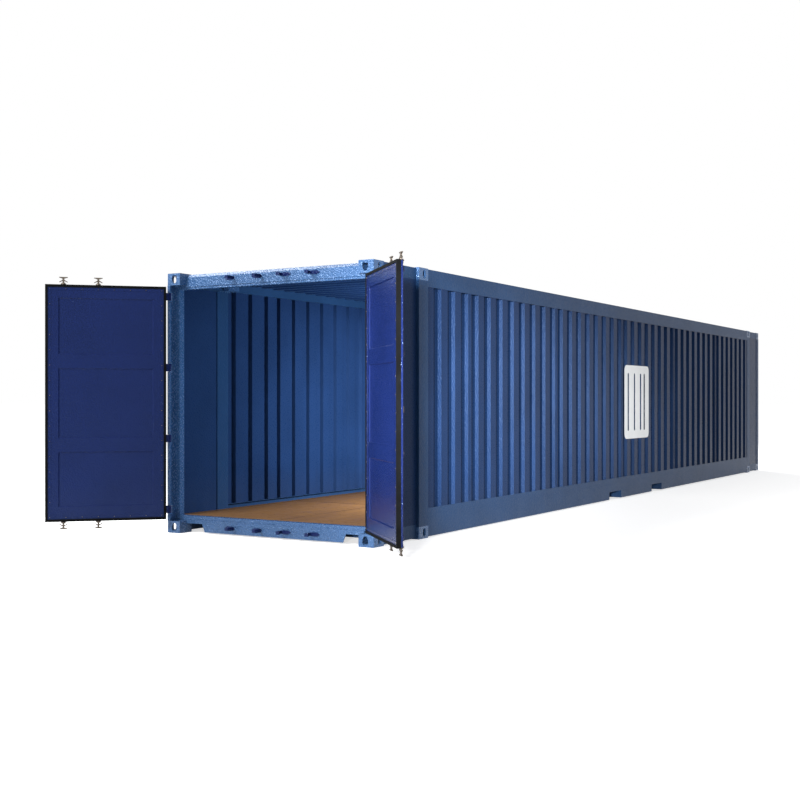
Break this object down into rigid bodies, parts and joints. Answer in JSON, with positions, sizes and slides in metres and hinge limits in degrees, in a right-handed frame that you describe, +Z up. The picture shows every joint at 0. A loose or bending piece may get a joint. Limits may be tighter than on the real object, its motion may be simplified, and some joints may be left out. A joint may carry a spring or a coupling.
{
  "type": "shipping container",
  "caption": "Long steel box container with corrugated side walls, inboard lifting castings, a plywood floor and double end doors that swing open on locking bars.",
  "frame": {"origin": "centre of the four bottom twistlock apertures at the 40 ft positions, on the ground plane", "axes": "X along the length with the doors at -X, Y across, +Z up"},
  "size_m": [14.6018, 4.052, 2.591],
  "materials": {
    "frame_paint": "satin, orange peel",
    "wall_paint": "satin",
    "door_paint": "satin",
    "gasket_rubber": "matt",
    "zinc_steel": "dull galvanised",
    "white_paint": "chalky, matt",
    "floor_ply": "sealed plywood"
  },
  "bodies": {
    "container": {"castings_door_end": "frame_paint", "castings_closed_end": "frame_paint", "castings_inboard_door_side": "frame_paint", "castings_inboard_closed_side": "frame_paint", "door_post_left": "frame_paint", "door_post_right": "frame_paint", "door_header": "frame_paint", "door_sill": "frame_paint", "cam_keepers": "frame_paint", "closed_end_posts": "frame_paint", "closed_end_header": "frame_paint", "closed_end_sill": "frame_paint", "closed_end_wall": "wall_paint", "inboard_posts": "frame_paint", "extension_rails": "frame_paint", "extension_panels": "wall_paint", "top_rail_left": "frame_paint", "top_rail_right": "frame_paint", "bottom_rail_left": "frame_paint", "bottom_rail_right": "frame_paint", "side_wall_left": "wall_paint", "side_wall_right": "wall_paint", "roof_sheet": "wall_paint", "roof_end_plates": "wall_paint", "roof_beams": "wall_paint", "floor_deck": "floor_ply", "crossmembers": "frame_paint", "fork_tunnels": "frame_paint"},
    "door_left": {"door_left_frame": "door_paint", "door_left_skin": "door_paint", "door_left_gasket": "gasket_rubber", "door_left_hinges": "door_paint", "door_left_bar_guides": "door_paint"},
    "bar_left_inner": {"door_left_inner_lock_bar": "zinc_steel", "door_left_inner_bar_handle": "zinc_steel"},
    "bar_left_outer": {"door_left_outer_lock_bar": "zinc_steel", "door_left_outer_bar_handle": "zinc_steel"},
    "door_right": {"door_right_frame": "door_paint", "door_right_skin": "door_paint", "door_right_gasket": "gasket_rubber", "door_right_hinges": "door_paint", "door_right_bar_guides": "door_paint"},
    "bar_right_inner": {"door_right_inner_lock_bar": "zinc_steel", "door_right_inner_bar_handle": "zinc_steel"},
    "bar_right_outer": {"door_right_outer_lock_bar": "zinc_steel", "door_right_outer_bar_handle": "zinc_steel"}
  },
  "joints": [
    {"name": "door_left_swing", "type": "hinge", "parent": "container", "child": "door_left", "pos_m": [-6.838, 1.205, 1.2965], "axis": [0, 0, -1], "range_deg": [-135, 130]},
    {"name": "bar_left_inner_turn", "type": "hinge", "parent": "door_left", "child": "bar_left_inner", "pos_m": [-7.56756, 1.92749, 1], "axis": [0, 0, -1], "range_deg": [-90, 0]},
    {"name": "bar_left_outer_turn", "type": "hinge", "parent": "door_left", "child": "bar_left_outer", "pos_m": [-7.33278, 1.69271, 1], "axis": [0, 0, -1], "range_deg": [-90, 0]},
    {"name": "door_right_swing", "type": "hinge", "parent": "container", "child": "door_right", "pos_m": [-6.838, -1.205, 1.2965], "axis": [0, 0, 1], "range_deg": [-135, 130]},
    {"name": "bar_right_inner_turn", "type": "hinge", "parent": "door_right", "child": "bar_right_inner", "pos_m": [-7.56756, -1.92749, 1], "axis": [0, 0, 1], "range_deg": [-90, 0]},
    {"name": "bar_right_outer_turn", "type": "hinge", "parent": "door_right", "child": "bar_right_outer", "pos_m": [-7.33278, -1.69271, 1], "axis": [0, 0, 1], "range_deg": [-90, 0]}
  ]
}
